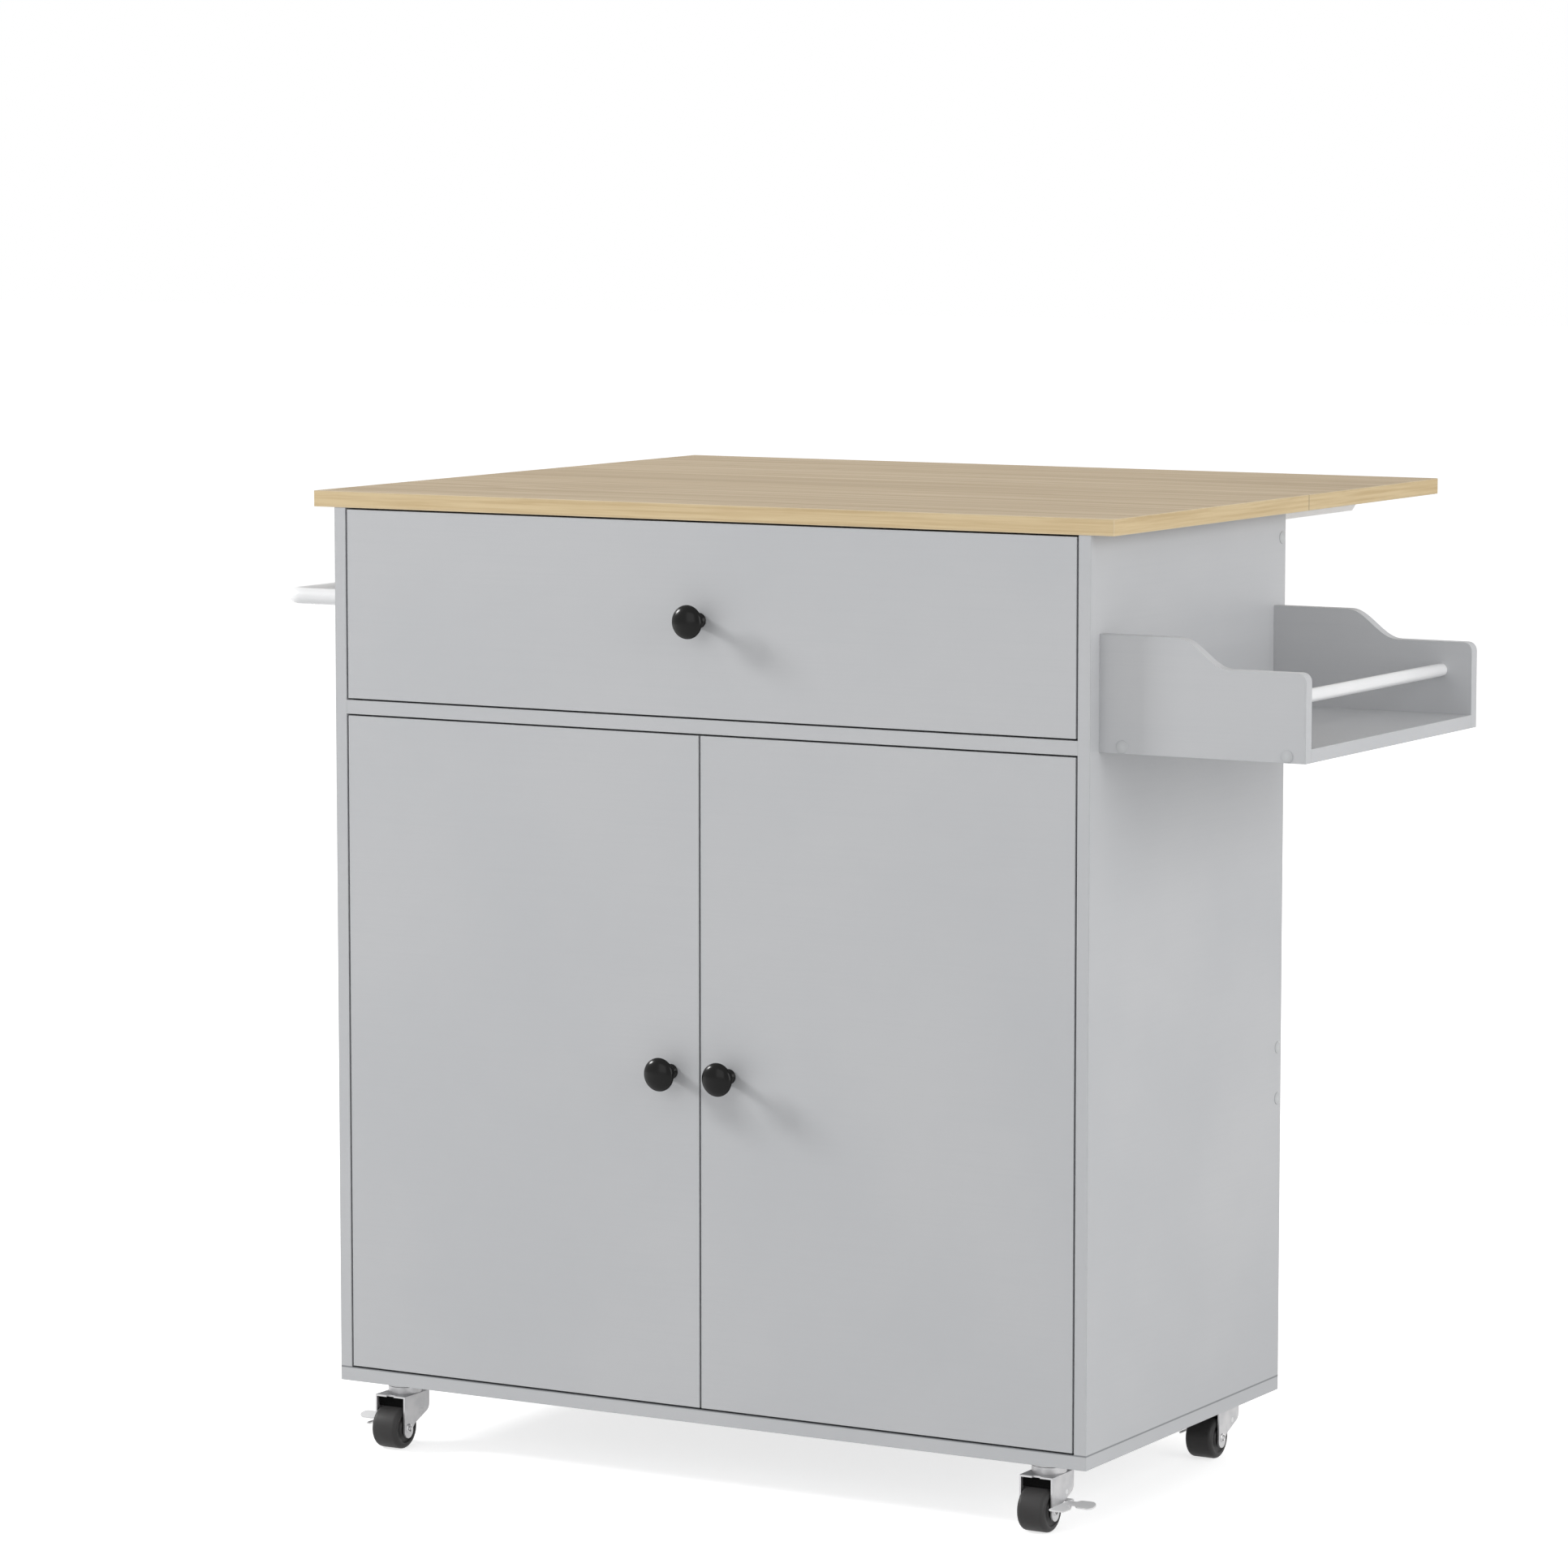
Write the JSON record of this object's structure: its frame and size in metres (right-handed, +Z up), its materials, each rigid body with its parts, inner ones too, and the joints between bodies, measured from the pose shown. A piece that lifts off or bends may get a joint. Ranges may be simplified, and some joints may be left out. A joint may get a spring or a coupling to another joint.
{
  "type": "drop leaf kitchen island",
  "caption": "Rolling kitchen island with a drawer, a two-door cupboard, an open side rack, a towel rail and a rear drop leaf on folding brackets.",
  "frame": {"origin": "on the floor, under the centre of the whole object's box with the leaf raised", "axes": "+X to the right along the width, towards the rack; +Y to the back, towards the leaf; +Z up; the doors face -Y"},
  "size_m": [1.0714, 0.7278, 0.905],
  "materials": {
    "oak_board": "satin light oak foil with straight grain along the width",
    "grey_board": "satin light cool grey foil",
    "beech_dowel": "bare turned wood",
    "grey_cap": "satin stick-on disc",
    "white_rod": "glossy pale silver-white coat",
    "white_bracket": "glossy white coat",
    "zinc_steel": "bright zinc plate",
    "black_knob": "deep black gloss",
    "caster_steel": "bright zinc-plated pressed steel",
    "black_wheel": "satin black moulded wheel"
  },
  "bodies": {
    "cabinet": {"worktop": "oak_board", "left_side_panel": "grey_board", "right_side_panel": "grey_board", "bottom_board": "grey_board", "fixed_shelf": "grey_board", "loose_shelf": "grey_board", "shelf_pins": "zinc_steel", "upper_back_rail": "oak_board", "middle_back_rail": "grey_board", "upper_back_panel": "grey_board", "lower_back_panel": "grey_board", "worktop_dowels": "beech_dowel", "panel_screws": "zinc_steel", "screw_caps": "grey_cap", "rack_front_end": "grey_board", "rack_rear_end": "grey_board", "rack_bottom": "grey_board", "rack_rod": "white_rod", "towel_rail": "white_rod", "drawer_runners": "zinc_steel", "hinge_arms": "zinc_steel", "bracket_channels": "white_bracket", "bracket_pins": "zinc_steel", "bracket_screws": "zinc_steel", "caster_stems": "caster_steel"},
    "drawer": {"drawer_front": "grey_board", "drawer_left_side": "grey_board", "drawer_right_side": "grey_board", "drawer_back": "grey_board", "drawer_bottom": "grey_board", "drawer_slides": "zinc_steel", "drawer_knob": "black_knob"},
    "left_door": {"left_door": "grey_board", "left_door_knob": "black_knob", "left_hinge_cups": "zinc_steel"},
    "right_door": {"right_door": "grey_board", "right_door_knob": "black_knob", "right_hinge_cups": "zinc_steel"},
    "left_links": {"left_hinge_links": "zinc_steel"},
    "right_links": {"right_hinge_links": "zinc_steel"},
    "leaf": {"drop_leaf": "oak_board", "leaf_arms": "white_bracket"},
    "struts": {"leaf_struts": "white_bracket"},
    "front_left_swivel": {"front_left_fork": "caster_steel", "front_left_axle": "caster_steel"},
    "front_left_wheel": {"front_left_wheel": "black_wheel"},
    "front_left_brake": {"front_left_brake": "caster_steel"},
    "front_right_swivel": {"front_right_fork": "caster_steel", "front_right_axle": "caster_steel"},
    "front_right_wheel": {"front_right_wheel": "black_wheel"},
    "front_right_brake": {"front_right_brake": "caster_steel"},
    "rear_left_swivel": {"rear_left_fork": "caster_steel", "rear_left_axle": "caster_steel"},
    "rear_left_wheel": {"rear_left_wheel": "black_wheel"},
    "rear_left_brake": {"rear_left_brake": "caster_steel"},
    "rear_right_swivel": {"rear_right_fork": "caster_steel", "rear_right_axle": "caster_steel"},
    "rear_right_wheel": {"rear_right_wheel": "black_wheel"},
    "rear_right_brake": {"rear_right_brake": "caster_steel"}
  },
  "joints": [
    {"name": "drawer_slide", "type": "slide", "parent": "cabinet", "child": "drawer", "axis": [0, -1, 0], "range_m": [0, 0.26]},
    {"name": "left_door_hinge", "type": "hinge", "parent": "cabinet", "child": "left_door", "pos_m": [-0.43825, -0.3359, 0.386], "axis": [0, 0, -1], "range_deg": [0, 95]},
    {"name": "right_door_hinge", "type": "hinge", "parent": "cabinet", "child": "right_door", "pos_m": [0.32375, -0.3359, 0.386], "axis": [0, 0, 1], "range_deg": [0, 95]},
    {"name": "left_link_turn", "type": "hinge", "parent": "cabinet", "child": "left_links", "pos_m": [-0.43825, -0.3359, 0.386], "axis": [0, 0, -1], "range_deg": [0, 71.25]},
    {"name": "right_link_turn", "type": "hinge", "parent": "cabinet", "child": "right_links", "pos_m": [0.32375, -0.3359, 0.386], "axis": [0, 0, 1], "range_deg": [0, 71.25]},
    {"name": "leaf_fold", "type": "hinge", "parent": "cabinet", "child": "leaf", "pos_m": [-0.05725, 0.0741, 0.88], "axis": [-1, 0, 0], "range_deg": [0, 90]},
    {"name": "strut_turn", "type": "hinge", "parent": "cabinet", "child": "struts", "pos_m": [-0.05725, 0.0741, 0.802], "axis": [-1, 0, 0], "range_deg": [0, 135.16]},
    {"name": "front_left_swivel_turn", "type": "hinge", "parent": "cabinet", "child": "front_left_swivel", "pos_m": [-0.40025, -0.3049, 0.052], "axis": [0, 0, 1], "continuous": true},
    {"name": "front_left_wheel_roll", "type": "hinge", "parent": "front_left_swivel", "child": "front_left_wheel", "pos_m": [-0.40025, -0.3244, 0.02], "axis": [1, 0, 0], "continuous": true},
    {"name": "front_left_brake_press", "type": "hinge", "parent": "front_left_swivel", "child": "front_left_brake", "pos_m": [-0.40025, -0.3024, 0.033], "axis": [1, 0, 0], "range_deg": [0, 20]},
    {"name": "front_right_swivel_turn", "type": "hinge", "parent": "cabinet", "child": "front_right_swivel", "pos_m": [0.28575, -0.3049, 0.052], "axis": [0, 0, 1], "continuous": true},
    {"name": "front_right_wheel_roll", "type": "hinge", "parent": "front_right_swivel", "child": "front_right_wheel", "pos_m": [0.28575, -0.3244, 0.02], "axis": [1, 0, 0], "continuous": true},
    {"name": "front_right_brake_press", "type": "hinge", "parent": "front_right_swivel", "child": "front_right_brake", "pos_m": [0.28575, -0.3024, 0.033], "axis": [1, 0, 0], "range_deg": [0, 20]},
    {"name": "rear_left_swivel_turn", "type": "hinge", "parent": "cabinet", "child": "rear_left_swivel", "pos_m": [-0.40025, 0.0381, 0.052], "axis": [0, 0, 1], "continuous": true},
    {"name": "rear_left_wheel_roll", "type": "hinge", "parent": "rear_left_swivel", "child": "rear_left_wheel", "pos_m": [-0.40025, 0.0186, 0.02], "axis": [1, 0, 0], "continuous": true},
    {"name": "rear_left_brake_press", "type": "hinge", "parent": "rear_left_swivel", "child": "rear_left_brake", "pos_m": [-0.40025, 0.0406, 0.033], "axis": [1, 0, 0], "range_deg": [0, 20]},
    {"name": "rear_right_swivel_turn", "type": "hinge", "parent": "cabinet", "child": "rear_right_swivel", "pos_m": [0.28575, 0.0381, 0.052], "axis": [0, 0, 1], "continuous": true},
    {"name": "rear_right_wheel_roll", "type": "hinge", "parent": "rear_right_swivel", "child": "rear_right_wheel", "pos_m": [0.28575, 0.0186, 0.02], "axis": [1, 0, 0], "continuous": true},
    {"name": "rear_right_brake_press", "type": "hinge", "parent": "rear_right_swivel", "child": "rear_right_brake", "pos_m": [0.28575, 0.0406, 0.033], "axis": [1, 0, 0], "range_deg": [0, 20]}
  ],
  "couplings": [
    {"joint": "left_link_turn", "follows": "left_door_hinge", "ratio": 0.75},
    {"joint": "right_link_turn", "follows": "right_door_hinge", "ratio": 0.75},
    {"joint": "strut_turn", "follows": "leaf_fold", "ratio": 1.5018}
  ]
}
